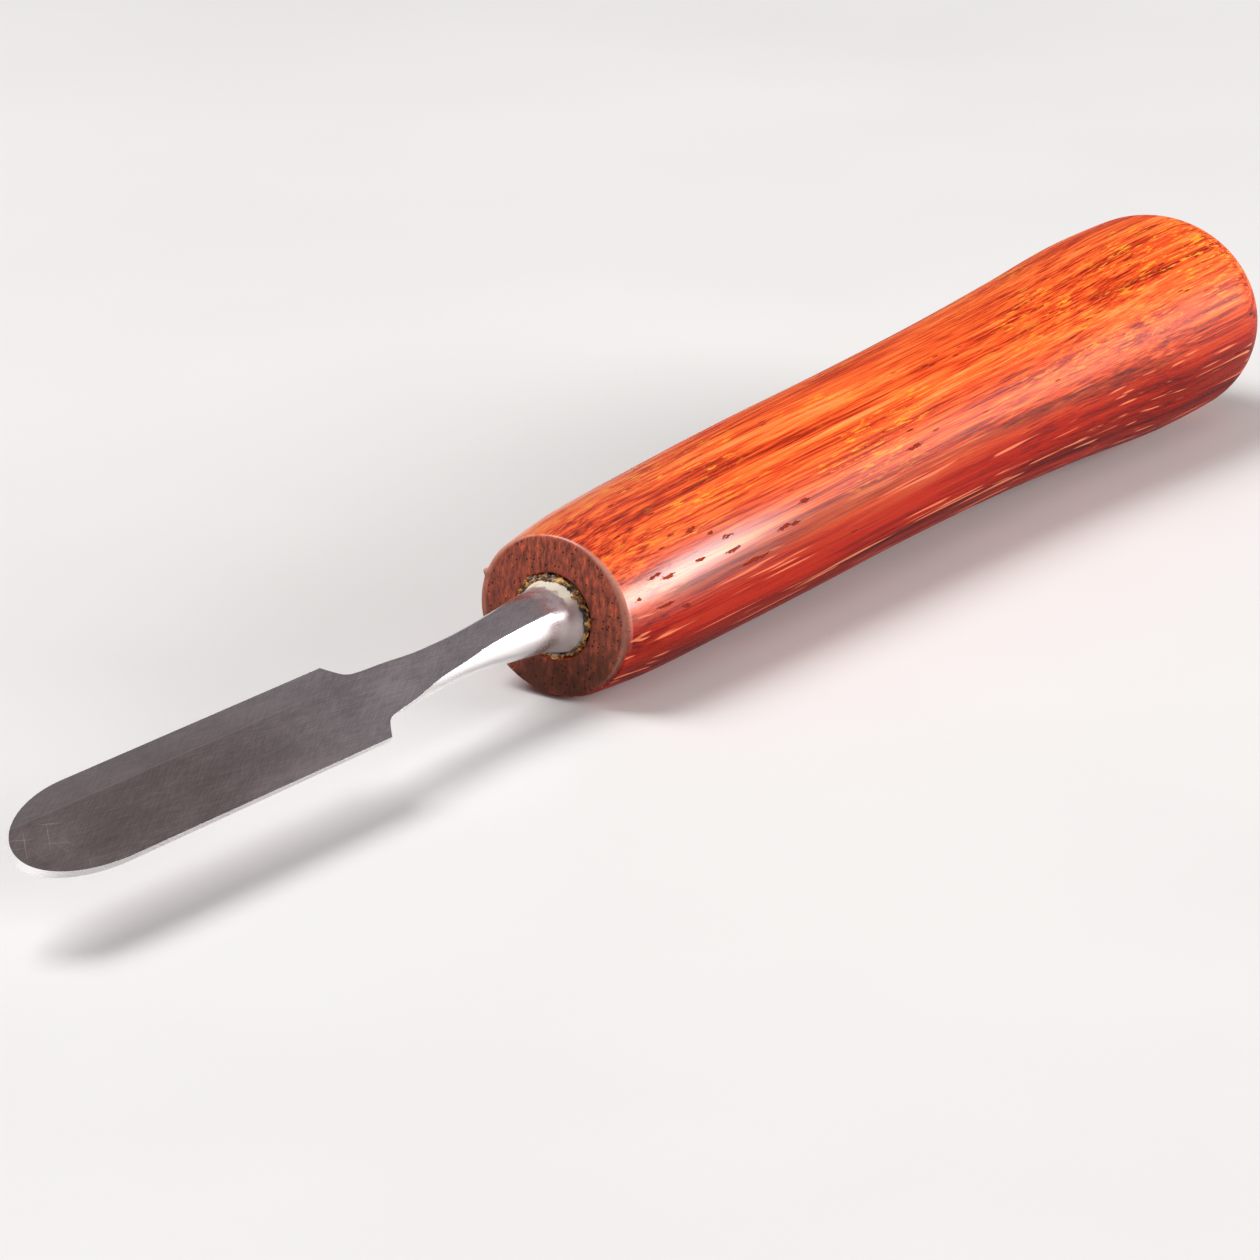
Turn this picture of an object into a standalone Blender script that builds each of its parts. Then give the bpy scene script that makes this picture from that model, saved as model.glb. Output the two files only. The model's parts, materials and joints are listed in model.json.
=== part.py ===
"""Lino cutter with a flat, round-ended blade and a turned hardwood handle.

Three pieces: the one-piece steel blade, neck and tang; the wooden handle with
its bore; and the cured glue that fills the bore round the tang and stands
proud of it as a bead.

Every dimension is in millimetres in the tool's own frame. X runs along the
handle's axis from its front face (x = 0) to the butt, Z is square to the
blade's flat top face, and Y is across the blade. The tool lies on the floor on
its barrel and its butt bulb, rolled over so that the blade's face looks partly
to the side. +Z is up in the world and the blade points towards -X.
"""
import math

import bmesh
import bpy
from mathutils import Matrix, Vector

MM = 0.001

# How the tool lies: rolled about its own axis, its butt a little higher.
ROLL = math.radians(31.7)
PITCH = math.radians(1.42)

# Handle.
HANDLE_LENGTH = 108.8
HANDLE_RADII = (          # (fraction of the length, radius)
    (0.00, 7.50),
    (0.06, 8.14),
    (0.16, 8.45),
    (0.30, 8.69),
    (0.45, 8.76),
    (0.60, 9.10),
    (0.73, 9.74),
    (0.85, 10.49),
    (1.00, 10.19),
)
FRONT_EASE = 0.65         # radius of the eased front edge
BUTT_ROUNDING = 8.9       # length of the rounded butt end
BUTT_FULLNESS = 0.85      # below 1 the butt is blunter than an ellipse
BORE_RADIUS = 3.8
BORE_DEPTH = 46.0
HANDLE_STEPS = 28         # facets round the handle

# The handle is hand-finished: slightly oval, slightly bowed, its front face a
# little out of square.
OVAL = 0.044
OVAL_ANGLE = -ROLL        # its wide way lies level, so that the tool doesn't roll
BOW = 0.53
FACE_SLOPE = 0.0375
FACE_SLOPE_DEPTH = 4.0    # the slope has faded out this far behind the face

# Glue.
SLEEVE_RADIUS = 3.5
SLEEVE_DEPTH = 40.0
BEAD_RADIUS = 4.35
BEAD_INNER_RADIUS = 3.7
BEAD_HEIGHT = 1.0
FACE_GAP = 0.5            # the bead clears the out-of-square face
GLUE_STEPS = 48

# Blade.
HEEL = 28.6               # shoulders, measured forward from the handle
BLADE_LENGTH = 41.8       # shoulders to tip
BLADE_HALF_WIDTH = 4.28
HEEL_THICKNESS = 0.52
TIP_THICKNESS = 0.76
TIP_LENGTH = 9.9          # length of the half-elliptical tip
TIP_SKEW = -0.4           # the tip is ground a little to one side
BLADE_TOP = 1.82          # height of the blade's face above the handle's axis
BLADE_YAW = math.radians(1.6)
BLADE_RISE = math.radians(0.75)

# Tang and neck sections: distance forward of the handle's face, centre across,
# height of the flat on top, half width of the flat, radius of the round part,
# and how far the section has changed from round (0) to a thin slab (1).
NECK = (
    (-42.0, 0.00, 1.30, 0.25, 1.32, 0.0),
    (-12.0, 0.00, 2.15, 0.35, 2.18, 0.0),
    (-3.0, 0.00, 2.50, 0.40, 2.53, 0.0),
    (-0.7, 0.00, 2.90, 0.45, 2.78, 0.0),
    (0.0, 0.02, 3.31, 0.45, 3.08, 0.0),
    (1.2, 0.05, 3.11, 0.45, 2.88, 0.0),
    (1.9, 0.08, 3.02, 0.60, 2.80, 0.0),
    (2.6, 0.12, 2.92, 0.85, 2.73, 0.0),
    (3.8, 0.18, 2.82, 0.95, 2.63, 0.0),
    (7.5, 0.24, 2.54, 0.98, 2.29, 0.0),
    (11.2, 0.31, 2.28, 1.10, 1.97, 0.0),
    (15.0, 0.36, 1.94, 1.38, 1.84, 0.0),
    (18.8, 0.33, 1.82, 1.62, 1.95, 0.1),
    (22.5, 0.22, 1.82, 2.12, 2.25, 0.4),
    (25.9, 0.18, 1.82, 2.46, 2.64, 0.85),
    (27.0, 0.20, 1.82, 2.72, 2.90, 1.0),
    (27.7, 0.20, 1.82, 3.30, 3.50, 1.0),
    (28.6, 0.20, 1.82, 4.28, 4.50, 1.0),
)
TOP_STEPS = 6
SIDE_STEPS = 3
UNDER_STEPS = 22


def clear_scene():
    for obj in list(bpy.data.objects):
        bpy.data.objects.remove(obj, do_unlink=True)


def material(name, colour, roughness, metallic=0.0):
    mat = bpy.data.materials.new(name)
    mat.use_nodes = True
    shader = mat.node_tree.nodes["Principled BSDF"]
    shader.inputs["Base Color"].default_value = (*colour, 1.0)
    shader.inputs["Roughness"].default_value = roughness
    shader.inputs["Metallic"].default_value = metallic
    return mat


def smooth_through(points, at):
    """Value at `at` of the smooth curve through (x, value) points.

    Each span is a cubic that leaves its ends with the average slope of the
    neighbouring spans."""
    xs = [p[0] for p in points]
    last = len(points) - 1
    at = min(max(at, xs[0]), xs[last])
    i = max(k for k in range(last) if xs[k] <= at)

    def slope(k):
        low, high = max(k - 1, 0), min(k + 1, last)
        return (points[high][1] - points[low][1]) / (xs[high] - xs[low])

    width = xs[i + 1] - xs[i]
    t = (at - xs[i]) / width
    start, end = points[i][1], points[i + 1][1]
    return (
        start * (2 * t**3 - 3 * t**2 + 1)
        + end * (3 * t**2 - 2 * t**3)
        + slope(i) * width * (t**3 - 2 * t**2 + t)
        + slope(i + 1) * width * (t**3 - t**2)
    )


def turned(name, profile, steps):
    """Solid of revolution about the tool's X axis from (radius, x) points.

    One of its facets faces the floor."""
    mesh = bpy.data.meshes.new(name)
    points = [(radius * MM, 0.0, x * MM) for radius, x in profile]
    edges = [(i, i + 1) for i in range(len(points) - 1)]
    if profile[0][0] > 0.0:
        edges.append((len(points) - 1, 0))
    mesh.from_pydata(points, edges, [])
    obj = bpy.data.objects.new(name, mesh)
    bpy.context.scene.collection.objects.link(obj)
    screw = obj.modifiers.new("Turn", "SCREW")
    screw.axis = "Z"
    screw.steps = steps
    screw.render_steps = steps
    screw.use_merge_vertices = True
    screw.merge_threshold = 1e-5
    evaluated = obj.evaluated_get(bpy.context.evaluated_depsgraph_get())
    solid = bpy.data.meshes.new_from_object(evaluated)
    bpy.data.objects.remove(obj, do_unlink=True)
    solid.transform(Matrix.Rotation(math.radians(90), 4, "Y"))
    facet_down = -ROLL + math.pi / steps
    solid.transform(Matrix.Rotation(facet_down, 4, "X"))
    return solid


def finished(name, mesh, mat, rig, collection):
    """Close the mesh, shade it and hang it on the rig as one named piece."""
    work = bmesh.new()
    work.from_mesh(mesh)
    bmesh.ops.remove_doubles(work, verts=work.verts, dist=1e-6)
    bmesh.ops.recalc_face_normals(work, faces=work.faces)
    for face in work.faces:
        face.smooth = True
    for edge in work.edges:
        edge.smooth = len(edge.link_faces) == 2 and edge.calc_face_angle() < math.radians(35)
    work.to_mesh(mesh)
    work.free()
    mesh.materials.clear()
    mesh.materials.append(mat)
    obj = bpy.data.objects.new(name, mesh)
    collection.objects.link(obj)
    obj.parent = rig
    return obj


def handle_profile():
    """(radius, x) from the bottom of the bore, over the outside, to the butt."""
    points = [(0.0, BORE_DEPTH), (BORE_RADIUS, BORE_DEPTH)]
    points += [(BORE_RADIUS, BORE_DEPTH * k / 4) for k in (3, 2, 1, 0)]
    for k in range(4):
        angle = math.pi / 2 * k / 4
        drop = FRONT_EASE * (1 - math.sin(angle))
        x = FRONT_EASE * (1 - math.cos(angle))
        points.append((smooth_through(HANDLE_RADII, x / HANDLE_LENGTH) - drop, x))
    barrel_end = HANDLE_LENGTH - BUTT_ROUNDING
    for k in range(25):
        x = FRONT_EASE + (barrel_end - FRONT_EASE) * k / 25
        points.append((smooth_through(HANDLE_RADII, x / HANDLE_LENGTH), x))
    for k in range(15):
        angle = math.pi / 2 * k / 15
        x = barrel_end + BUTT_ROUNDING * math.sin(angle) ** BUTT_FULLNESS
        points.append((smooth_through(HANDLE_RADII, x / HANDLE_LENGTH) * math.cos(angle), x))
    points.append((0.0, HANDLE_LENGTH))
    return points


def hand_finish(mesh):
    """Make the outside slightly oval and bowed and slope the front face."""
    oval_axis = Vector((0.0, math.cos(OVAL_ANGLE), math.sin(OVAL_ANGLE)))
    up = Vector((0.0, math.sin(ROLL), math.cos(ROLL)))
    for vert in mesh.vertices:
        x = vert.co.x / MM
        across = Vector((0.0, vert.co.y, vert.co.z))
        in_bore = across.length < (BORE_RADIUS + 0.1) * MM and x < BORE_DEPTH + 1.0
        slope = FACE_SLOPE * max(0.0, 1.0 - x / FACE_SLOPE_DEPTH)
        vert.co.x += slope * across.dot(up)
        if in_bore:
            continue
        along = oval_axis * across.dot(oval_axis)
        across = across * (1.0 - OVAL) + along * (2.0 * OVAL)
        fraction = min(max(x / HANDLE_LENGTH, 0.0), 1.0)
        across.y += BOW * MM * 4.0 * fraction * (1.0 - fraction)
        vert.co.y = across.y
        vert.co.z = across.z


def glue_profile():
    """(radius, x): a sleeve inside the bore that ends in a bead outside it."""
    inner_back = 2.2
    inner_mid = 2.85
    inner_mouth = 3.3
    return [
        (inner_back, SLEEVE_DEPTH),
        (inner_mid, 8.0),
        (inner_mouth, 0.9),
        (inner_mouth, 0.2),
        (BEAD_INNER_RADIUS, -FACE_GAP - 0.1),
        (BEAD_INNER_RADIUS, -FACE_GAP - BEAD_HEIGHT * 0.6),
        (BEAD_INNER_RADIUS + 0.18, -FACE_GAP - BEAD_HEIGHT),
        (BEAD_RADIUS - 0.12, -FACE_GAP - BEAD_HEIGHT * 0.7),
        (BEAD_RADIUS, -FACE_GAP),
        (SLEEVE_RADIUS, -FACE_GAP),
        (SLEEVE_RADIUS, 8.0),
        (SLEEVE_RADIUS, SLEEVE_DEPTH),
    ]


def section(forward, centre, top, half, radius, slab, thickness=HEEL_THICKNESS):
    """Ring of points round the steel at one station, flat side first."""
    drop = math.sqrt(max(radius**2 - half**2, 0.0))
    start = math.atan2(drop, half)
    sweep = math.pi + 2 * start
    ring = [(half * (2 * k / TOP_STEPS - 1), 0.0) for k in range(TOP_STEPS + 1)]
    lower_count = 2 * SIDE_STEPS + UNDER_STEPS
    for k in range(1, lower_count):
        angle = start - sweep * k / lower_count
        round_y = radius * math.cos(angle)
        round_z = radius * math.sin(angle) - drop
        if k <= SIDE_STEPS:
            slab_y = half
            slab_z = -thickness * k / SIDE_STEPS
        elif k < lower_count - SIDE_STEPS:
            slab_y = half * (1 - 2 * (k - SIDE_STEPS) / UNDER_STEPS)
            slab_z = -thickness
        else:
            slab_y = -half
            slab_z = -thickness * (lower_count - k) / SIDE_STEPS
        ring.append((
            round_y * (1 - slab) + slab_y * slab,
            round_z * (1 - slab) + slab_z * slab,
        ))
    return [Vector((-forward, centre + y, top + z)) * MM for y, z in ring]


def neck_section(forward):
    values = [
        smooth_through([(row[0], row[column]) for row in NECK], forward)
        for column in range(1, 6)
    ]
    centre, top, half, radius, slab = values
    radius = max(radius, half * 1.001)
    return section(forward, centre, top, half, radius, min(max(slab, 0.0), 1.0))


def blade_section(beyond):
    """Section `beyond` the shoulders; the tip is half an ellipse."""
    from_tip = BLADE_LENGTH - beyond
    into_tip = max(0.0, 1.0 - from_tip / TIP_LENGTH)
    half = BLADE_HALF_WIDTH * math.sqrt(1.0 - into_tip**2)
    centre = NECK[-1][1] + beyond * math.tan(BLADE_YAW) + TIP_SKEW * into_tip**2
    top = BLADE_TOP + beyond * math.tan(BLADE_RISE)
    thickness = HEEL_THICKNESS + (TIP_THICKNESS - HEEL_THICKNESS) * beyond / BLADE_LENGTH
    return section(HEEL + beyond, centre, top, half, half * 1.07, 1.0, thickness)


def neck_stations():
    stations = []
    for (low, *_), (high, *_) in zip(NECK, NECK[1:]):
        parts = max(1, round((high - low) / 1.9)) if low >= 0 else 2
        stations += [low + (high - low) * k / parts for k in range(parts)]
    return stations


def blade_stations():
    straight = BLADE_LENGTH - TIP_LENGTH
    stations = [straight * k / 5 for k in range(5)]
    tip_steps = 12
    for k in range(tip_steps):
        angle = math.pi / 2 * k / tip_steps
        stations.append(straight + TIP_LENGTH * math.sin(angle))
    return stations


def steel_mesh():
    """Loft the sections from the tang's end to the tip."""
    rings = [neck_section(forward) for forward in neck_stations()]
    rings += [blade_section(beyond) for beyond in blade_stations()]
    work = bmesh.new()
    rows = [[work.verts.new(co) for co in ring] for ring in rings]
    for near, far in zip(rows, rows[1:]):
        for k in range(len(near)):
            j = (k + 1) % len(near)
            work.faces.new((near[k], near[j], far[j], far[k]))
    for row in (rows[0], rows[-1]):
        work.faces.new(row)
    mesh = bpy.data.meshes.new("blade_shank")
    work.to_mesh(mesh)
    work.free()
    return mesh


def rest_on_floor(rig, pieces):
    """Put the lowest point on the floor and the middle over the origin."""
    bpy.context.view_layer.update()
    corners = [piece.matrix_world @ vert.co for piece in pieces for vert in piece.data.vertices]
    low = [min(co[axis] for co in corners) for axis in range(3)]
    high = [max(co[axis] for co in corners) for axis in range(3)]
    rig.location = (-(low[0] + high[0]) / 2, -(low[1] + high[1]) / 2, -low[2])


def main():
    clear_scene()
    collection = bpy.data.collections.new("lino_cutter")
    bpy.context.scene.collection.children.link(collection)
    rig = bpy.data.objects.new("tool_axis", None)
    rig.rotation_euler = (ROLL, -PITCH, 0.0)
    collection.objects.link(rig)

    steel = material("steel", (0.60, 0.60, 0.62), 0.25, 1.0)
    wood = material("rosewood", (0.43, 0.12, 0.045), 0.45)
    glue = material("glue", (0.42, 0.22, 0.07), 0.3)

    handle_mesh = turned("handle", handle_profile(), HANDLE_STEPS)
    hand_finish(handle_mesh)
    pieces = [
        finished("blade_shank", steel_mesh(), steel, rig, collection),
        finished("handle", handle_mesh, wood, rig, collection),
        finished("glue", turned("glue", glue_profile(), GLUE_STEPS), glue, rig, collection),
    ]
    rest_on_floor(rig, pieces)


main()
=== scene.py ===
"""Looks for the flat-bladed cutter: polished steel, oiled red hardwood and cured glue.

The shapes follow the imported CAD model. They are built in the tool's own frame,
in millimetres: X runs along the handle's axis from its front face to the butt,
Z is square to the blade's flat, and Y is across the blade.
"""

import json
import math

import bmesh
import bpy
from mathutils import Matrix, Vector, noise


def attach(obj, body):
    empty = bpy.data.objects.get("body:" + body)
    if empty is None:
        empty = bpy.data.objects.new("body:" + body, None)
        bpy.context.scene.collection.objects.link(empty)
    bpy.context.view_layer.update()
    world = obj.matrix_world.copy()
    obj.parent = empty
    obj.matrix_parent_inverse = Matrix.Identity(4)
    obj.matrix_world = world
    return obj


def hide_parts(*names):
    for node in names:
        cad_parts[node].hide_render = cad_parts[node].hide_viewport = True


MM = 0.001

# How the tool lies, as the CAD model has it.
ROLL = math.radians(31.7)
PITCH = math.radians(1.42)

# Handle, as the CAD model has it.
HANDLE_LENGTH = 108.8
HANDLE_RADII = (          # (fraction of the length, radius)
    (0.00, 7.50),
    (0.06, 8.14),
    (0.16, 8.45),
    (0.30, 8.69),
    (0.45, 8.76),
    (0.60, 9.10),
    (0.73, 9.74),
    (0.85, 10.49),
    (1.00, 10.19),
)
FRONT_EASE = 0.40         # radius of the front edge, a little crisper than in CAD
BUTT_ROUNDING = 8.9       # length of the rounded butt end
BUTT_FULLNESS = 0.85      # below 1 the butt is blunter than an ellipse
BORE_RADIUS = 3.8
BORE_DEPTH = 46.0
BORE_WALL = 0.2           # points nearer to the bore than this belong to it
MOUTH_BEVEL = 0.12        # at the mouth of the bore
OVAL = 0.044              # its wide way lies level
BOW = 0.53
FACE_SLOPE = 0.0375
FACE_SLOPE_DEPTH = 4.0    # the slope has faded out this far behind the face

# A splinter that stands up from the front rim's far side.
SPLINTER_HEIGHT = 0.35
SPLINTER_ANGLE = math.radians(-11)
SPLINTER_WIDTH = 0.035    # round the rim, in radians
SPLINTER_AT = 0.3         # behind the face
SPLINTER_LENGTH = 0.35
SPLINTER_REACH = 2.0      # nothing further back is lifted

HANDLE_STEPS = 256
BARREL_RINGS = 200
BUTT_RINGS = 48
EDGE_RINGS = 10
FACE_RINGS = 12
BORE_RINGS = 12
HANDLE_SHARP = math.radians(60)

# Blade, neck and tang, as the CAD model has them, but for a quicker flare at the bore.
HEEL = 28.6
BLADE_LENGTH = 41.8
BLADE_HALF_WIDTH = 4.28
HEEL_THICKNESS = 0.52
TIP_THICKNESS = 0.76
TIP_LENGTH = 9.9          # length of the half-elliptical tip
TIP_SKEW = -0.4           # the tip is ground a little to one side
BLADE_TOP = 1.82
BLADE_YAW = math.radians(1.6)
BLADE_RISE = math.radians(0.75)
NECK = (      # forward of the face, centre, flat's height, half flat, round radius, slab
    (-42.0, 0.00, 1.30, 0.25, 1.32, 0.0),
    (-12.0, 0.00, 2.15, 0.35, 2.18, 0.0),
    (-3.0, 0.00, 2.50, 0.40, 2.53, 0.0),
    (-0.7, 0.00, 2.90, 0.45, 2.78, 0.0),
    (0.0, 0.02, 3.52, 0.45, 3.36, 0.0),
    (0.6, 0.03, 3.36, 0.45, 3.18, 0.0),
    (1.2, 0.05, 3.20, 0.45, 3.00, 0.0),
    (1.9, 0.08, 3.06, 0.60, 2.86, 0.0),
    (2.6, 0.12, 2.92, 0.85, 2.73, 0.0),
    (3.8, 0.18, 2.82, 0.95, 2.63, 0.0),
    (7.5, 0.24, 2.54, 0.98, 2.29, 0.0),
    (11.2, 0.31, 2.28, 1.10, 1.97, 0.0),
    (15.0, 0.36, 1.94, 1.38, 1.84, 0.0),
    (18.8, 0.33, 1.82, 1.62, 1.95, 0.1),
    (22.5, 0.22, 1.82, 2.12, 2.25, 0.4),
    (25.9, 0.18, 1.82, 2.46, 2.64, 0.85),
    (27.0, 0.20, 1.82, 2.72, 2.90, 1.0),
    (27.7, 0.20, 1.82, 3.30, 3.50, 1.0),
    (28.6, 0.20, 1.82, 4.28, 4.50, 1.0),
)
MOUNT_ALONG_BLADE = 16.0  # where the record's blade_face mount sits, from the shoulders
LEAST_ROUND = 1.001       # the neck's round is never narrower than its flat
BLADE_ROUND = 1.07        # the same on the blade, where a slab has taken its place
TOP_STEPS = 20
SIDE_STEPS = 8
UNDER_STEPS = 72
TANG_STATIONS = 12
NECK_STATION_GAP = 0.45
BLADE_STATIONS = 30
TIP_STATIONS = 56
STEEL_SHARP = math.radians(38)
STEEL_EDGE = 0.06         # width of the small rounding on the ground edges
STEEL_EDGE_STEPS = 2
STEEL_EDGE_ANGLE = math.radians(40)

# Glue bead.
BEAD_CENTRE_RADIUS = 3.50
BEAD_WANDER = 0.12        # how far its centre strays from that radius
BEAD_WANDER_SCALE = 3.1
BEAD_THICKNESS = 0.36
BEAD_FULLNESS = (0.72, 0.28)      # of that thickness: at the sides, more on top
BEAD_SWELL = 0.45         # how much it thickens and thins on its way round
BEAD_SWELL_SCALE = 2.3
BEAD_SWELL_SHIFT = Vector((7.1, 0.0, 0.0))
BEAD_HEIGHT = 1.15        # along the handle, in thicknesses
BEAD_STAND_OFF = 0.10
BEAD_ROUGHNESS = 0.26     # how far its lumps stand out
BEAD_LUMP_SCALE = 2.6
BEAD_GRAIN_SCALE = 6.5
BEAD_GRAIN = 0.6          # height of the grains, in lumps
BEAD_AROUND = 220
BEAD_ACROSS = 28
BEAD_SHARP = math.radians(80)

# Open pores that show on the near side: (along the handle, degrees round it from
# the square to the blade's flat, length).
PORES = (
    (4.5, -30, 2.0), (6.2, -34, 2.2), (11.0, -34, 1.6), (15.5, -38, 2.4),
    (18.2, -50, 4.6), (23.2, -40, 2.2), (24.8, -41, 1.5), (27.0, -31, 1.6),
    (11.6, -15, 1.5), (13.6, -22, 0.8), (15.5, -29, 1.3), (4.9, -50, 2.4),
    (1.8, -39, 0.8), (45.0, -33, 2.6),
)
PORE_WIDTH = 0.32
PORE_RAGGED = (0.0015, 0.0006, 0.0006)    # how far their edges stray, in metres

# Colours of the wood.
WOOD_TONES = (
    (0.40, (0.190, 0.009, 0.002)),
    (0.46, (0.540, 0.038, 0.007)),
    (0.51, (0.900, 0.105, 0.018)),
    (0.56, (1.000, 0.190, 0.034)),
    (0.63, (1.000, 0.330, 0.105)),
)
WOOD_LINES = (0.42, 0.14, 0.09)
# painted shade on the lower side of the wood
WOOD_PAINTED_SHADE = (0.38, 0.04, 0.02)
WOOD_BROWN = (0.46, 0.42, 0.62)
# painted reflections off the grain, on the lower side
WOOD_PAINTED_GRAIN_REFLECTION = (0.900, 0.260, 0.120)
# painted glints of chatoyant flecks, on the upper side
WOOD_PAINTED_GLINTS = (1.000, 0.390, 0.030)
WOOD_PORES = (0.300, 0.018, 0.004)
# rubbed front edge, also a painted highlight at its top
WOOD_WORN_AND_HIGHLIGHT = (0.620, 0.290, 0.220)
WOOD_SHEEN = (1.0, 0.80, 0.68, 1.0)
END_TONES = (
    (0.34, (0.160, 0.044, 0.032)),
    (0.50, (0.330, 0.086, 0.058)),
    (0.60, (0.500, 0.110, 0.062)),
    (0.69, (0.900, 0.150, 0.055)),
)
# painted shade on the lower half of the end face
END_PAINTED_SHADE = (0.060, 0.028, 0.020)
END_PORES = (0.018, 0.004, 0.003)

# Colours of the steel, and where they change: distances in metres along the tool.
STEEL_AT_TIP = (0.640, 0.530, 0.535)
STEEL_AT_HEEL = (0.880, 0.800, 0.850)
STEEL_SCRATCH = (0.92, 0.90, 0.90)
# painted reflection of the far edge's bevel
STEEL_BEVEL_REFLECTION = (0.90, 0.86, 0.90)
# painted highlight along the bevel's ridge
STEEL_RIDGE_HIGHLIGHT = (1.0, 0.96, 0.94)
# painted highlight on the steel's sides
STEEL_SIDE_HIGHLIGHT = (0.97, 0.96, 0.96)
STEEL_FILM = (0.58, 0.56, 0.55)
STEEL_CRUST = (0.86, 0.78, 0.62)
TIP_TO_HEEL = (-0.052, -0.024)
NECK_TO_BLADE = (-0.028, -0.034)
SCRATCHED_TIP = (-0.050, -0.057)
SCRATCH_TURNS = (0.35, -0.9, 1.25)
FAR_BEVEL = (0.00115, 0.00185)    # across the blade, from its middle
FAR_BEVEL_SLANT = 0.028
FILM_BEGINS = (-0.0040, -0.0016)
FILM_RAGGED = 0.0010
FILM_DULLS = (-0.0040, -0.0010)
CRUST_BEGINS = (-0.0002, 0.0006)
CRUST_RAGGED = 0.0036

# Colours of the glue and the floor.
GLUE_TONES = (
    (0.40, (0.010, 0.006, 0.004)),
    (0.49, (0.090, 0.032, 0.006)),
    (0.57, (0.520, 0.210, 0.028)),
    (0.68, (0.860, 0.640, 0.300)),
)
GLUE_CRUST = (0.80, 0.75, 0.64)
FLOOR_TONES = ((0.3, (0.76, 0.75, 0.74)), (0.7, (0.80, 0.79, 0.78)))

# Floor and backdrop, in metres.
FLOOR_REACH = 2.2
FLOOR_HALF_WIDTH = 3.0
FLOOR_GAP = 0.00002       # the floor is this far below the tool
BACKDROP_BEND = 0.5
BACKDROP_HEIGHT = 2.0
BACKDROP_STEPS = 24

# Softboxes: name, direction from the tool, distance, width, height (m), power (W).
SOFTBOXES = (
    ("top_light", (-0.25, 0.45, 1.0), 0.9, 0.5, 0.5, 6.7),
    ("side_light", (0.66, -0.74, 0.27), 0.8, 0.62, 0.26, 7.2),
    ("front_light", (-0.9, -0.45, 0.9), 1.0, 0.5, 0.4, 1.4),
)
STUDIO_COLOUR = (1.0, 0.94, 0.93, 1.0)
STUDIO_STRENGTH = 0.2

# Camera, from the middle of the handle's front face.
CAMERA_OFFSET = Vector((-0.3905, -0.2825, 0.1686))
CAMERA_AZIMUTH = math.radians(305.11)
CAMERA_ELEVATION = math.radians(19.41)
CAMERA_LENS = 171.0
CAMERA_SENSOR = 36.0


def smooth_through(points, at):
    """Value at `at` of the smooth curve through (x, value) points."""
    xs = [p[0] for p in points]
    last = len(points) - 1
    at = min(max(at, xs[0]), xs[last])
    i = max(k for k in range(last) if xs[k] <= at)

    def slope(k):
        low, high = max(k - 1, 0), min(k + 1, last)
        return (points[high][1] - points[low][1]) / (xs[high] - xs[low])

    width = xs[i + 1] - xs[i]
    t = (at - xs[i]) / width
    start, end = points[i][1], points[i + 1][1]
    return (
        start * (2 * t**3 - 3 * t**2 + 1)
        + end * (3 * t**2 - 2 * t**3)
        + slope(i) * width * (t**3 - 2 * t**2 + t)
        + slope(i + 1) * width * (t**3 - t**2)
    )


def tool_matrix(record):
    """Tool frame to row frame, found from the record's blade_face mount."""
    turn = Matrix.Rotation(-PITCH, 4, "Y") @ Matrix.Rotation(ROLL, 4, "X")
    mount = next(m for m in record["mounts"] if m["name"] == "blade_face")
    local = Vector((
        -(HEEL + MOUNT_ALONG_BLADE),
        NECK[-1][1] + MOUNT_ALONG_BLADE * math.tan(BLADE_YAW),
        BLADE_TOP + MOUNT_ALONG_BLADE * math.tan(BLADE_RISE),
    )) * MM
    return Matrix.Translation(Vector(mount["pos_m"]) - turn @ local) @ turn


def skin(name, rings, close_ends, sharp_angle):
    """Closed surface through rings of points, each ring closed on itself."""
    work = bmesh.new()
    rows = [[work.verts.new(co) for co in ring] for ring in rings]
    for near, far in zip(rows, rows[1:]):
        for k in range(len(near)):
            j = (k + 1) % len(near)
            work.faces.new((near[k], near[j], far[j], far[k]))
    if close_ends:
        work.faces.new(rows[0])
        work.faces.new(rows[-1])
    bmesh.ops.remove_doubles(work, verts=work.verts, dist=1e-7)
    bmesh.ops.recalc_face_normals(work, faces=work.faces)
    for face in work.faces:
        face.smooth = True
    for edge in work.edges:
        edge.smooth = len(edge.link_faces) == 2 and edge.calc_face_angle() < sharp_angle
    mesh = bpy.data.meshes.new(name)
    work.to_mesh(mesh)
    work.free()
    obj = bpy.data.objects.new(name, mesh)
    bpy.context.scene.collection.objects.link(obj)
    return obj


# --- Handle -----------------------------------------------------------------


def radius_at(x):
    """Radius of the handle `x` behind its face, before its oval."""
    return smooth_through(HANDLE_RADII, x / HANDLE_LENGTH)


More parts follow.
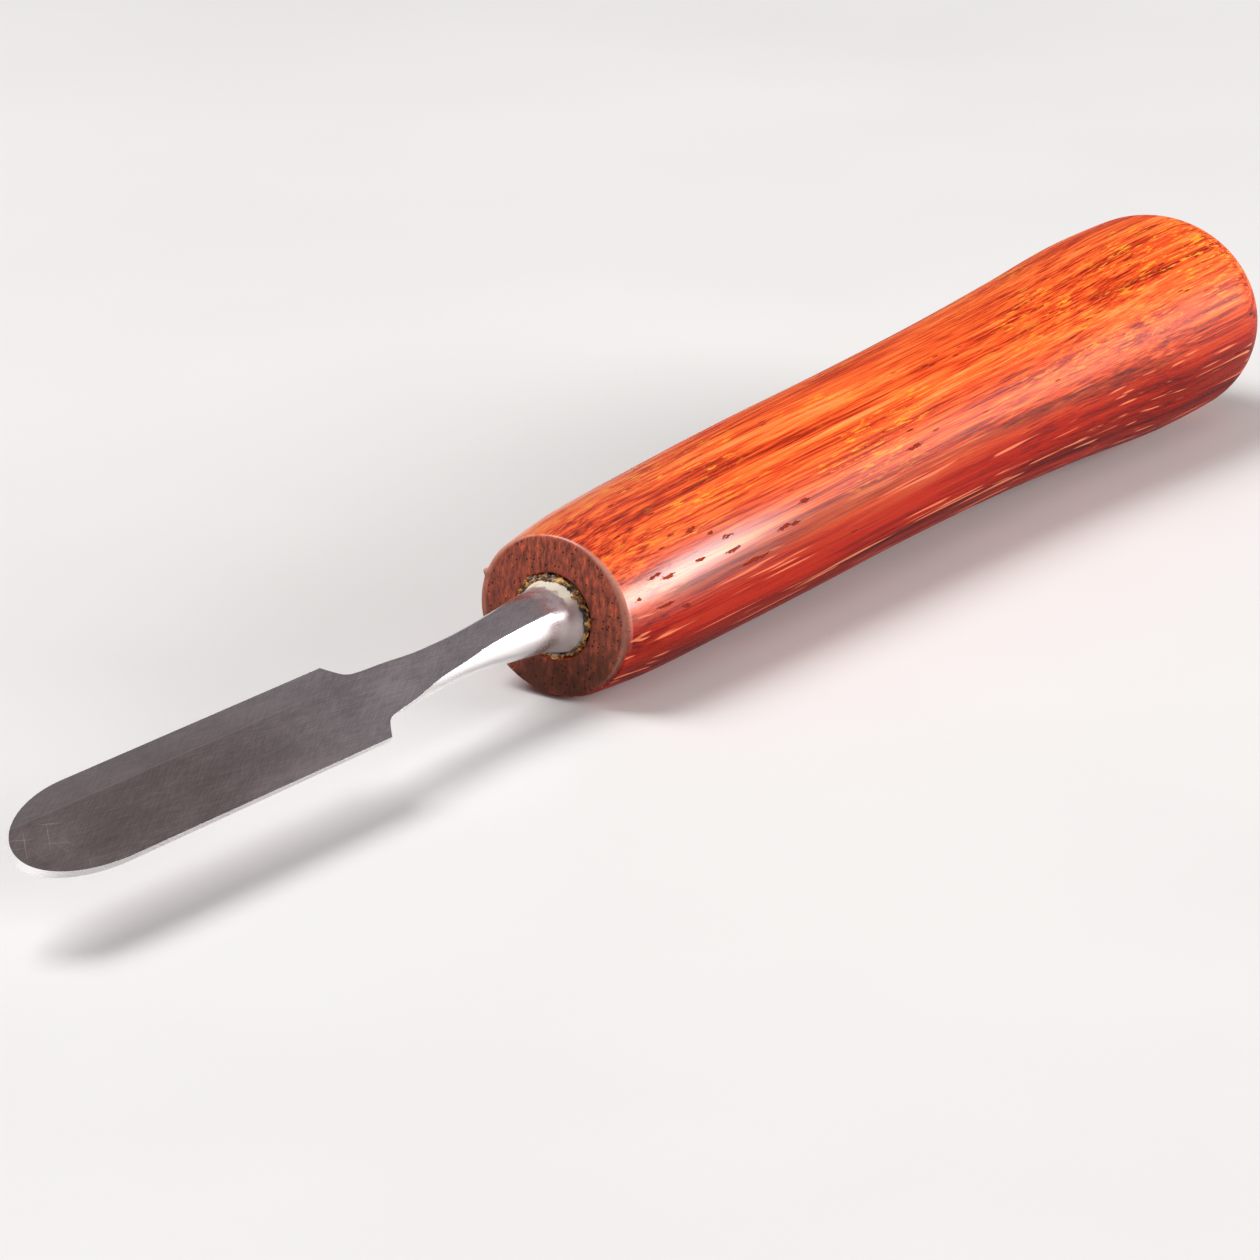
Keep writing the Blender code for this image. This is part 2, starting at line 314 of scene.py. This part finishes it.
def handle_profile():
    """(radius, x) from the bottom of the bore, over the outside, to the butt."""
    points = [(0.0, BORE_DEPTH), (BORE_RADIUS, BORE_DEPTH)]
    for k in range(BORE_RINGS - 1, 0, -1):
        points.append((BORE_RADIUS, BORE_DEPTH * k / BORE_RINGS))
    points += [(BORE_RADIUS, MOUTH_BEVEL), (BORE_RADIUS + MOUTH_BEVEL, 0.0)]
    face_width = radius_at(0.0) - FRONT_EASE - BORE_RADIUS - MOUTH_BEVEL
    for k in range(1, FACE_RINGS):
        points.append((BORE_RADIUS + MOUTH_BEVEL + face_width * k / FACE_RINGS, 0.0))
    for k in range(EDGE_RINGS):
        angle = math.pi / 2 * k / EDGE_RINGS
        x = FRONT_EASE * (1 - math.cos(angle))
        points.append((radius_at(x) - FRONT_EASE * (1 - math.sin(angle)), x))
    barrel_end = HANDLE_LENGTH - BUTT_ROUNDING
    for k in range(BARREL_RINGS):
        x = FRONT_EASE + (barrel_end - FRONT_EASE) * k / BARREL_RINGS
        points.append((radius_at(x), x))
    for k in range(BUTT_RINGS):
        angle = math.pi / 2 * k / BUTT_RINGS
        x = barrel_end + BUTT_ROUNDING * math.sin(angle) ** BUTT_FULLNESS
        points.append((radius_at(x) * math.cos(angle), x))
    points.append((0.0, HANDLE_LENGTH))
    return points


def handle_point(radius, x, angle):
    """Point on the handle, with its oval, bow, out-of-square face and splinter."""
    across = Vector((0.0, math.cos(angle), math.sin(angle))) * radius
    level = Vector((0.0, math.cos(ROLL), -math.sin(ROLL)))
    up = Vector((0.0, math.sin(ROLL), math.cos(ROLL)))
    slope = FACE_SLOPE * max(0.0, 1.0 - x / FACE_SLOPE_DEPTH) * across.dot(up)
    if radius > BORE_RADIUS + BORE_WALL:
        across = across * (1.0 - OVAL) + level * (2.0 * OVAL * across.dot(level))
    in_bore = radius < BORE_RADIUS + BORE_WALL and x < BORE_DEPTH + 1.0
    if not in_bore:
        fraction = min(max(x / HANDLE_LENGTH, 0.0), 1.0)
        across.y += BOW * 4.0 * fraction * (1.0 - fraction)
    if radius > radius_at(0.0) - FRONT_EASE and x < SPLINTER_REACH:
        round_rim = (angle - SPLINTER_ANGLE + math.pi) % (2 * math.pi) - math.pi
        aside = (round_rim / SPLINTER_WIDTH) ** 2
        behind = ((x - SPLINTER_AT) / SPLINTER_LENGTH) ** 2
        lift = SPLINTER_HEIGHT * math.exp(-aside - behind)
        across += across.normalized() * lift
    return Vector((x + slope, across.y, across.z)) * MM


def make_handle():
    rings = []
    for radius, x in handle_profile():
        rings.append([
            handle_point(radius, x, 2 * math.pi * k / HANDLE_STEPS)
            for k in range(HANDLE_STEPS)
        ])
    return skin("wood_handle", rings, False, HANDLE_SHARP)


# --- Steel ------------------------------------------------------------------


def section(forward, centre, top, half, radius, slab, thickness=HEEL_THICKNESS):
    """Ring of points round the steel at one station, flat side first."""
    drop = math.sqrt(max(radius**2 - half**2, 0.0))
    start = math.atan2(drop, half)
    sweep = math.pi + 2 * start
    ring = [(half * (2 * k / TOP_STEPS - 1), 0.0) for k in range(TOP_STEPS + 1)]
    lower_count = 2 * SIDE_STEPS + UNDER_STEPS
    for k in range(1, lower_count):
        angle = start - sweep * k / lower_count
        round_y = radius * math.cos(angle)
        round_z = radius * math.sin(angle) - drop
        if k <= SIDE_STEPS:
            slab_y = half
            slab_z = -thickness * k / SIDE_STEPS
        elif k < lower_count - SIDE_STEPS:
            slab_y = half * (1 - 2 * (k - SIDE_STEPS) / UNDER_STEPS)
            slab_z = -thickness
        else:
            slab_y = -half
            slab_z = -thickness * (lower_count - k) / SIDE_STEPS
        ring.append((
            round_y * (1 - slab) + slab_y * slab,
            round_z * (1 - slab) + slab_z * slab,
        ))
    return [Vector((-forward, centre + y, top + z)) * MM for y, z in ring]


def neck_section(forward):
    """Section of the neck or the tang, `forward` of the handle's face."""
    values = [
        smooth_through([(row[0], row[column]) for row in NECK], forward)
        for column in range(1, 6)
    ]
    centre, top, half, radius, slab = values
    radius = max(radius, half * LEAST_ROUND)
    return section(forward, centre, top, half, radius, min(max(slab, 0.0), 1.0))


def blade_section(beyond):
    """Section `beyond` the shoulders; the tip is half an ellipse."""
    into_tip = max(0.0, 1.0 - (BLADE_LENGTH - beyond) / TIP_LENGTH)
    half = BLADE_HALF_WIDTH * math.sqrt(1.0 - into_tip**2)
    centre = NECK[-1][1] + beyond * math.tan(BLADE_YAW) + TIP_SKEW * into_tip**2
    top = BLADE_TOP + beyond * math.tan(BLADE_RISE)
    thickness = HEEL_THICKNESS + (TIP_THICKNESS - HEEL_THICKNESS) * beyond / BLADE_LENGTH
    return section(HEEL + beyond, centre, top, half, half * BLADE_ROUND, 1.0, thickness)


def make_steel():
    stations = [NECK[0][0] * (1 - k / TANG_STATIONS) for k in range(TANG_STATIONS)]
    neck_count = round(HEEL / NECK_STATION_GAP)
    stations += [HEEL * k / neck_count for k in range(neck_count)]
    rings = [neck_section(forward) for forward in stations]
    straight = BLADE_LENGTH - TIP_LENGTH
    for k in range(BLADE_STATIONS):
        rings.append(blade_section(straight * k / BLADE_STATIONS))
    for k in range(TIP_STATIONS):
        angle = math.pi / 2 * k / TIP_STATIONS
        rings.append(blade_section(straight + TIP_LENGTH * math.sin(angle)))
    return skin("steel_blade", rings, True, STEEL_SHARP)


# --- Glue -------------------------------------------------------------------


def make_bead():
    """Lumpy ring of glue where the neck goes into the bore, fuller on top."""
    world_up = Vector((0.0, math.sin(ROLL), math.cos(ROLL)))
    rings = []
    for i in range(BEAD_AROUND):
        turn = 2 * math.pi * i / BEAD_AROUND
        out = Vector((0.0, math.cos(turn), math.sin(turn)))
        swell = noise.noise(out * BEAD_SWELL_SCALE + BEAD_SWELL_SHIFT)
        centre = BEAD_CENTRE_RADIUS + BEAD_WANDER * noise.noise(out * BEAD_WANDER_SCALE)
        fullness = BEAD_FULLNESS[0] + BEAD_FULLNESS[1] * out.dot(world_up)
        thickness = BEAD_THICKNESS * (fullness + BEAD_SWELL * swell)
        ring = []
        for j in range(BEAD_ACROSS):
            angle = 2 * math.pi * j / BEAD_ACROSS
            where = out * (centre + thickness * math.cos(angle))
            where.x = -BEAD_STAND_OFF + thickness * BEAD_HEIGHT * math.sin(angle)
            grains = noise.noise(where * BEAD_GRAIN_SCALE)
            fine = noise.noise(where * BEAD_LUMP_SCALE) + BEAD_GRAIN * grains
            away = (out * math.cos(angle) + Vector((math.sin(angle), 0.0, 0.0))).normalized()
            ring.append((where + away * (BEAD_ROUGHNESS * fine)) * MM)
        rings.append(ring)
    rings.append(rings[0])
    return skin("glue_bead", rings, False, BEAD_SHARP)


# --- Materials --------------------------------------------------------------


class Graph:
    """A material's node tree with the few kinds of node that these looks need."""

    def __init__(self, name, tool):
        self.to_tool = tool.inverted()
        self.material = bpy.data.materials.new(name)
        self.material.use_nodes = True
        self.tree = self.material.node_tree
        self.shader = self.tree.nodes["Principled BSDF"]

    def node(self, kind, inputs=None, **settings):
        """A new node with its settings and its inputs."""
        made = self.tree.nodes.new(kind)
        for key, value in settings.items():
            setattr(made, key, value)
        for key, value in (inputs or {}).items():
            self.feed(made.inputs[key], value)
        return made

    def feed(self, socket, value):
        """Link an output to the socket, or set the socket to a value."""
        if isinstance(value, bpy.types.NodeSocket):
            self.tree.links.new(value, socket)
        else:
            socket.default_value = value

    def set(self, **inputs):
        """Feed the surface shader's inputs."""
        for key, value in inputs.items():
            self.feed(self.shader.inputs[key.replace("_", " ")], value)

    def place(self):
        """Where the surface is, in the tool's frame, in metres."""
        coords = self.node("ShaderNodeTexCoord").outputs["Object"]
        return self.node("ShaderNodeMapping", {
            "Vector": coords,
            "Rotation": self.to_tool.to_euler(),
            "Location": self.to_tool.translation,
        }).outputs["Vector"]

    def facing(self):
        """Which way the surface faces, in the tool's frame."""
        coords = self.node("ShaderNodeTexCoord").outputs["Normal"]
        return self.node("ShaderNodeMapping", {
            "Vector": coords, "Rotation": self.to_tool.to_euler(),
        }, vector_type="VECTOR").outputs["Vector"]

    def upward(self):
        """How far the surface faces up, from -1 to 1."""
        return self.axis(self.node("ShaderNodeTexCoord").outputs["Normal"], "Z")

    def radial(self):
        """Distance from the handle's axis, in metres."""
        flat = self.vector("MULTIPLY", self.place(), (0.0, 1.0, 1.0))
        return self.node("ShaderNodeVectorMath", {0: flat}, operation="LENGTH").outputs["Value"]

    def vector(self, operation, first, second):
        made = self.node("ShaderNodeVectorMath", {0: first, 1: second}, operation=operation)
        return made.outputs["Vector"]

    def pores(self, slits):
        """Ragged slits in the wood, at given places, and small ones strewn everywhere."""
        ragged = self.node("ShaderNodeTexNoise", {
            "Vector": self.stretched((1500.0, 3600.0, 3600.0)), "Scale": 1.0, "Detail": 3.0,
        }).outputs["Color"]
        ragged = self.vector("SUBTRACT", ragged, (0.5, 0.5, 0.5))
        ragged = self.vector("MULTIPLY", ragged, PORE_RAGGED)
        where = self.vector("ADD", self.place(), ragged)
        found = 0.0
        thin = 2.0 / (PORE_WIDTH * MM)
        for along, turn, length in slits:
            centre = handle_point(radius_at(along), along, math.radians(90 - turn))
            offset = self.vector("SUBTRACT", where, centre)
            scaled = self.vector("MULTIPLY", offset, (2.0 / (length * MM), thin, thin))
            size = self.node("ShaderNodeVectorMath", {0: scaled}, operation="LENGTH")
            slit = self.step(size.outputs["Value"], 1.15, 0.75)
            found = self.calc("MAXIMUM", found, slit)
        strewn = self.cells(self.stretched((240.0, 1700.0, 1700.0), (0.0, 0.0, 0.02)))
        strewn = self.step(strewn, 0.17, 0.08)
        sparse = self.noise(self.stretched((70.0, 260.0, 260.0), shift=(3.0, 5.0, 1.0)), 2.0)
        return self.calc("MAXIMUM", found, self.times(strewn, self.step(sparse, 0.52, 0.64)))

    def stretched(self, scale, turn=(0.0, 0.0, 0.0), shift=(0.0, 0.0, 0.0)):
        """Tool coordinates times `scale` per metre, turned and shifted."""
        turned = self.node("ShaderNodeMapping", {"Vector": self.place(), "Rotation": turn})
        scaled = self.node("ShaderNodeMapping", {
            "Vector": turned.outputs["Vector"], "Scale": scale, "Location": shift,
        })
        return scaled.outputs["Vector"]

    def noise(self, where, detail=3.0, roughness=0.55, distortion=0.0):
        """Cloudy noise, about 0.5 in the middle."""
        made = self.node("ShaderNodeTexNoise", {
            "Vector": where, "Scale": 1.0, "Detail": detail,
            "Roughness": roughness, "Distortion": distortion,
        })
        return made.outputs["Fac"]

    def cells(self, where):
        """Distance from the nearest of many scattered points."""
        made = self.node("ShaderNodeTexVoronoi", {"Vector": where, "Scale": 1.0})
        return made.outputs["Distance"]

    def step(self, value, low, high, to_low=0.0, to_high=1.0):
        """Smooth step of value from `low` to `high`."""
        made = self.node("ShaderNodeMapRange", {
            "Value": value, "From Min": low, "From Max": high,
            "To Min": to_low, "To Max": to_high,
        }, interpolation_type="SMOOTHSTEP")
        return made.outputs["Result"]

    def calc(self, operation, first, second=0.0):
        made = self.node("ShaderNodeMath", {0: first, 1: second}, operation=operation)
        return made.outputs["Value"]

    def times(self, *values):
        product = values[0]
        for value in values[1:]:
            product = self.calc("MULTIPLY", product, value)
        return product

    def plus(self, *values):
        total = values[0]
        for value in values[1:]:
            total = self.calc("ADD", total, value)
        return total

    def along(self):
        """Distance behind the handle's face, in metres; negative on the blade."""
        return self.axis(self.place(), "X")

    def axis(self, vector, name):
        return self.node("ShaderNodeSeparateXYZ", {"Vector": vector}).outputs[name]

    def ramp(self, value, stops):
        """Colour from (value, colour) stops."""
        made = self.node("ShaderNodeValToRGB", {"Fac": value})
        elements = made.color_ramp.elements
        while len(elements) < len(stops):
            elements.new(0.5)
        for element, (at, colour) in zip(elements, stops):
            element.position = at
            element.color = (*colour, 1.0)
        return made.outputs["Color"]

    def blend(self, amount, first, second, mode="MIX"):
        """The first colour, with `amount` of the second mixed in."""
        made = self.node("ShaderNodeMix", data_type="RGBA", blend_type=mode)
        for socket, value in zip(
            (made.inputs[0], made.inputs[6], made.inputs[7]), (amount, first, second)
        ):
            if isinstance(value, tuple):
                value = (*value, 1.0)
            self.feed(socket, value)
        return made.outputs[2]

    def bump(self, height, distance, normal=None, strength=1.0):
        inputs = {"Height": height, "Distance": distance, "Strength": strength}
        if normal is not None:
            inputs["Normal"] = normal
        return self.node("ShaderNodeBump", inputs).outputs["Normal"]


def above_axis(g):
    """Height above the handle's axis, in metres, as the tool lies."""
    place = g.vector("MULTIPLY", g.place(), (0.0, math.sin(ROLL), math.cos(ROLL)))
    return g.plus(g.axis(place, "Y"), g.axis(place, "Z"))


def wood_material(tool):
    g = Graph("rosewood", tool)
    bands = g.noise(g.stretched((9.0, 230.0, 230.0), (0.0, 0.0, 0.03)), 3.0, 0.5, 0.6)
    streaks = g.noise(g.stretched((40.0, 1500.0, 1500.0)), 4.0, 0.65, 0.3)
    fibres = g.noise(g.stretched((90.0, 6500.0, 6500.0)), 3.0, 0.65)
    tone = g.plus(g.times(bands, 0.30), g.times(streaks, 0.36), g.times(fibres, 0.34))
    colour = g.ramp(tone, WOOD_TONES)
    lines = g.noise(g.stretched((38.0, 3300.0, 3300.0), shift=(0.0, 6.0, 0.0)), 2.0)
    lines = g.times(g.step(lines, 0.60, 0.68), 0.72)
    colour = g.blend(lines, colour, WOOD_LINES, "MULTIPLY")

    # Painted shade: the lower side, turned away from the lamps, is painted a deeper red. Brown
    # patches darken all but the upper side.
    up = g.upward()
    lower_painted_shade = g.step(up, 0.52, -0.10)
    colour = g.blend(g.times(lower_painted_shade, 0.95), colour, WOOD_PAINTED_SHADE, "MULTIPLY")
    brown = g.noise(g.stretched((7.0, 420.0, 420.0), shift=(1.0, 3.0, 0.0)), 2.0)
    brown = g.times(g.step(brown, 0.47, 0.60), g.step(up, 0.80, 0.35), 0.75)
    colour = g.blend(brown, colour, WOOD_BROWN, "MULTIPLY")
    # Painted reflections: long pale streaks off the grain, on the lower side only.
    painted_grain_reflections = g.noise(g.stretched((75.0, 2300.0, 2300.0), shift=(4.0, 0.0, 0.0)), 1.0)
    painted_grain_reflections = g.times(g.step(painted_grain_reflections, 0.63, 0.70), lower_painted_shade, 0.7)
    colour = g.blend(painted_grain_reflections, colour, WOOD_PAINTED_GRAIN_REFLECTION)

    # Painted glints: yellow-orange chatoyant flecks in patches, most of them on the upper, lit
    # side.
    patches = g.step(g.noise(g.stretched((45.0, 230.0, 230.0)), 2.0), 0.40, 0.60)
    painted_glints = g.noise(g.stretched((360.0, 3900.0, 3900.0)), 3.0, 0.65, 0.3)
    painted_glints = g.times(g.step(painted_glints, 0.55, 0.63), patches, g.step(up, 0.10, 0.75))
    colour = g.blend(g.times(painted_glints, 0.85), colour, WOOD_PAINTED_GLINTS)

    pores = g.pores(PORES)
    colour = g.blend(g.times(pores, 0.86), colour, WOOD_PORES)

    # End grain: browner and darker, with red specks and round pores, and painted shade on its
    # lower half.
    end = g.step(g.calc("ABSOLUTE", g.axis(g.facing(), "X")), 0.55, 0.92)
    end_noise = g.noise(g.stretched((300.0, 2300.0, 800.0), (0.5, 0.0, 0.0)), 4.0, 0.7)
    end_colour = g.ramp(end_noise, END_TONES)
    # Painted shade: the end face is darkened in patches below the handle's axis, as the tool
    # lies.
    end_painted_shade = g.noise(g.stretched((200.0, 300.0, 300.0), shift=(0.0, 2.0, 7.0)), 3.0)
    end_painted_shade = g.times(g.step(above_axis(g), 0.004, -0.005), g.step(end_painted_shade, 0.26, 0.56), 0.82)
    end_colour = g.blend(end_painted_shade, end_colour, END_PAINTED_SHADE)
    end_pores = g.step(g.cells(g.stretched((300.0, 1900.0, 1900.0))), 0.24, 0.12)
    end_colour = g.blend(g.times(end_pores, 0.85), end_colour, END_PORES)
    colour = g.blend(end, colour, end_colour)

    # The front edge is rubbed pale, and the pale colour is kept to its upper part, where it is
    # also a painted highlight.
    worn_edge_and_highlight = g.times(
        g.step(g.radial(), 0.0070, 0.0073), g.step(g.along(), 0.0007, 0.0004),
        g.step(up, -0.4, 0.5), 0.75,
    )
    colour = g.blend(worn_edge_and_highlight, colour, WOOD_WORN_AND_HIGHLIGHT)

    # The hand has polished the side near the front, but not the end grain or the pores.
    unbroken = g.calc("SUBTRACT", 1.0, pores)
    polish = g.times(
        g.step(g.along(), 0.030, 0.006, 0.08, 1.0), g.step(up, -0.1, 0.35),
        g.calc("SUBTRACT", 1.0, end), unbroken,
    )
    g.set(
        Base_Color=colour,
        Roughness=g.step(
            g.plus(g.times(fibres, 0.5), g.times(end, 0.4), g.times(pores, 0.9)),
            0.1, 0.8, 0.42, 0.80,
        ),
        Specular_IOR_Level=0.10,
        Coat_Weight=polish,
        Coat_Roughness=0.28,
        Specular_Tint=WOOD_SHEEN,
    )
    relief = g.bump(fibres, 0.00005, strength=0.7)
    relief = g.bump(streaks, 0.00012, relief, 0.5)
    relief = g.bump(unbroken, 0.00025, relief, 1.0)
    relief = g.bump(g.times(end, end_noise), 0.00010, relief, 0.6)
    g.feed(g.shader.inputs["Normal"], relief)
    return g.material


def steel_material(tool):
    g = Graph("polished_steel", tool)
    smudges = g.noise(g.stretched((110.0, 260.0, 260.0)), 4.0, 0.6)
    cloud = g.noise(g.stretched((50.0, 90.0, 90.0), shift=(2.0, 0.0, 0.0)), 3.0, 0.6)
    brushed = g.plus(
        g.times(g.noise(g.stretched((700.0, 8000.0, 8000.0), (0.0, 0.0, -0.45)), 2.0, 0.6), 0.5),
        g.times(g.noise(g.stretched((420.0, 9000.0, 9000.0), (0.0, 0.0, 0.12)), 2.0, 0.6), 0.5),
    )

    # Fine scratches in a few directions, near the tip.
    scratches = 0.0
    for k, turn in enumerate(SCRATCH_TURNS):
        where = g.stretched((110.0, 7000.0, 400.0), (0.0, 0.0, turn), (k * 9.0, 0.0, 0.0))
        scratches = g.plus(scratches, g.step(g.noise(where, 1.0), 0.69, 0.77))
    near_tip = g.step(g.along(), *SCRATCHED_TIP)
    scratches = g.times(scratches, g.step(smudges, 0.42, 0.62), near_tip)

    # Warm and dark towards the tip, cooler and lighter at the heel and on the neck.
    colour = g.blend(g.step(g.along(), *TIP_TO_HEEL), STEEL_AT_TIP, STEEL_AT_HEEL)
    shade = g.plus(g.times(cloud, 0.28), g.times(brushed, 0.46), g.times(smudges, 0.26))
    shade = g.step(shade, 0.36, 0.64, 0.68, 1.16)
    grey = g.node("ShaderNodeCombineColor", {"Red": shade, "Green": shade, "Blue": shade})
    colour = g.blend(1.0, colour, grey.outputs["Color"], "MULTIPLY")
    colour = g.blend(g.times(scratches, 0.60), colour, STEEL_SCRATCH)

    # A painted reflection: a shallow lighter bevel band along the far edge, with a painted
    # highlight along its ridge.
    flat = g.step(g.axis(g.facing(), "Z"), 0.90, 0.99)
    blade_only = g.step(g.along(), *NECK_TO_BLADE)
    across = g.plus(g.axis(g.place(), "Y"), g.times(g.along(), FAR_BEVEL_SLANT))
    far = g.step(across, *FAR_BEVEL)
    colour = g.blend(g.times(far, flat, blade_only, 0.30), colour, STEEL_BEVEL_REFLECTION)
    ridge_highlight = g.times(g.step(far, 0.25, 0.5), g.step(far, 0.75, 0.5))
    colour = g.blend(g.times(ridge_highlight, flat, blade_only, 0.30), colour, STEEL_RIDGE_HIGHLIGHT)
    # Painted highlight: the sides are painted lighter, to brighten their reflections.
    side = g.step(g.calc("ABSOLUTE", g.axis(g.facing(), "Z")), 0.75, 0.45)
    colour = g.blend(side, colour, STEEL_SIDE_HIGHLIGHT)

    # A thin dried film of glue dulls the last of the neck, under a cream crust on top.
    patchy = g.noise(g.stretched((700.0, 700.0, 700.0)), 4.0, 0.65)
    film = g.times(
        g.step(g.plus(g.along(), g.times(patchy, FILM_RAGGED)), *FILM_BEGINS),
        g.step(patchy, 0.40, 0.60, 0.25, 0.60),
    )
    colour = g.blend(g.times(film, 0.80), colour, STEEL_FILM)
    crust = g.times(
        g.step(g.plus(g.along(), g.times(patchy, CRUST_RAGGED)), *CRUST_BEGINS),
        g.step(g.upward(), 0.35, 0.75), g.step(patchy, 0.36, 0.46),
    )
    colour = g.blend(g.times(crust, 0.90), colour, STEEL_CRUST)
    g.set(
        Base_Color=colour,
        Metallic=g.calc("SUBTRACT", 1.0, g.calc("MAXIMUM", g.times(film, 0.55), crust)),
        Roughness=g.plus(
            g.step(smudges, 0.3, 0.7, 0.15, 0.21), g.times(scratches, 0.10),
            g.times(brushed, 0.08), g.times(side, 0.05),
            g.times(g.step(g.along(), *FILM_DULLS), 0.20),
        ),
    )
    relief = g.bump(brushed, 0.000005, strength=0.5)
    relief = g.bump(scratches, 0.000010, relief, 0.5)
    g.feed(g.shader.inputs["Normal"], relief)
    return g.material


def glue_material(tool):
    g = Graph("cured_glue", tool)
    mottle = g.noise(g.stretched((1100.0, 1100.0, 1100.0)), 4.0, 0.6, 0.8)
    colour = g.ramp(mottle, GLUE_TONES)
    crust = g.step(g.radial(), 0.00375, 0.00330)
    crust = g.times(crust, g.step(g.upward(), 0.1, 0.7), g.step(mottle, 0.42, 0.56), 0.9)
    colour = g.blend(crust, colour, GLUE_CRUST)
    g.set(Base_Color=colour, Roughness=g.step(mottle, 0.3, 0.7, 0.25, 0.55))
    grains = g.noise(g.stretched((4200.0, 4200.0, 4200.0)), 3.0, 0.6)
    g.feed(g.shader.inputs["Normal"], g.bump(grains, 0.00010, strength=0.8))
    return g.material


def floor_material():
    g = Graph("studio_floor", Matrix.Identity(4))
    tone = g.noise(g.stretched((14.0, 14.0, 14.0)), 3.0, 0.5)
    g.set(
        Base_Color=g.ramp(tone, FLOOR_TONES),
        Roughness=0.55,
    )
    return g.material


# --- Stage ------------------------------------------------------------------


def make_floor():
    """Pale sheet that curves up into a backdrop far behind the tool."""
    work = bmesh.new()
    rows = [(-FLOOR_REACH, 0.0)]
    for k in range(BACKDROP_STEPS + 1):
        angle = math.pi / 2 * k / BACKDROP_STEPS
        rows.append((
            FLOOR_REACH + BACKDROP_BEND * math.sin(angle),
            BACKDROP_BEND * (1 - math.cos(angle)),
        ))
    rows.append((FLOOR_REACH + BACKDROP_BEND, BACKDROP_HEIGHT))
    left, right = (
        [work.verts.new((x, y, z - FLOOR_GAP)) for y, z in rows]
        for x in (-FLOOR_HALF_WIDTH, FLOOR_HALF_WIDTH)
    )
    for k in range(len(rows) - 1):
        face = work.faces.new((left[k], right[k], right[k + 1], left[k + 1]))
        face.smooth = True
    mesh = bpy.data.meshes.new("floor")
    work.to_mesh(mesh)
    work.free()
    floor = bpy.data.objects.new("floor", mesh)
    bpy.context.scene.collection.objects.link(floor)
    floor.data.materials.append(floor_material())


def softbox(name, direction, distance, width, height, power):
    """Rectangular light that faces the tool from `direction`."""
    data = bpy.data.lights.new(name, "AREA")
    data.shape = "RECTANGLE"
    data.size = width
    data.size_y = height
    data.energy = power
    light = bpy.data.objects.new(name, data)
    away = Vector(direction).normalized()
    light.location = away * distance
    light.rotation_euler = away.to_track_quat("Z", "Y").to_euler()
    bpy.context.scene.collection.objects.link(light)


def make_lights():
    for settings in SOFTBOXES:
        softbox(*settings)
    world = bpy.data.worlds.new("studio")
    world.use_nodes = True
    background = world.node_tree.nodes["Background"]
    background.inputs["Color"].default_value = STUDIO_COLOUR
    background.inputs["Strength"].default_value = STUDIO_STRENGTH
    bpy.context.scene.world = world
    bpy.context.scene.view_settings.view_transform = "Standard"


def make_camera(face_centre):
    """Camera at the photograph's angle."""
    data = bpy.data.cameras.new("photo_view")
    data.lens = CAMERA_LENS
    data.sensor_width = CAMERA_SENSOR
    camera = bpy.data.objects.new("photo_view", data)
    camera.location = face_centre + CAMERA_OFFSET
    back = Vector((
        math.sin(CAMERA_AZIMUTH) * math.cos(CAMERA_ELEVATION),
        -math.cos(CAMERA_AZIMUTH) * math.cos(CAMERA_ELEVATION),
        math.sin(CAMERA_ELEVATION),
    ))
    camera.rotation_euler = back.to_track_quat("Z", "Y").to_euler()
    bpy.context.scene.collection.objects.link(camera)
    bpy.context.scene.camera = camera


def dress(piece, tool, material, node):
    """Put a piece where its CAD node is and let it stand for the node."""
    piece.data.transform(tool)
    piece.data.materials.append(material)
    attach(piece, "root")
    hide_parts(node)


with open("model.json") as file:
    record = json.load(file)
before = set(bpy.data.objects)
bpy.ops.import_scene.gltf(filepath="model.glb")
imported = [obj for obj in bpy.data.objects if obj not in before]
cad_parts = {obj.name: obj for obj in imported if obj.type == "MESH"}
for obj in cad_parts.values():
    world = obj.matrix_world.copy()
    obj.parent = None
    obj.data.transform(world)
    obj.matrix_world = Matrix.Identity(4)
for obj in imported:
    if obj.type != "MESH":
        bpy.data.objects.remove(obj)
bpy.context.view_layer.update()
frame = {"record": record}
tool = tool_matrix(frame["record"])

steel_piece = make_steel()
edge = steel_piece.modifiers.new("Eased edges", "BEVEL")
edge.width = STEEL_EDGE * MM
edge.segments = STEEL_EDGE_STEPS
edge.limit_method = "ANGLE"
edge.angle_limit = STEEL_EDGE_ANGLE
dress(steel_piece, tool, steel_material(tool), "blade_shank")
dress(make_handle(), tool, wood_material(tool), "handle")
dress(make_bead(), tool, glue_material(tool), "glue")

make_floor()
make_lights()
make_camera(tool.translation)
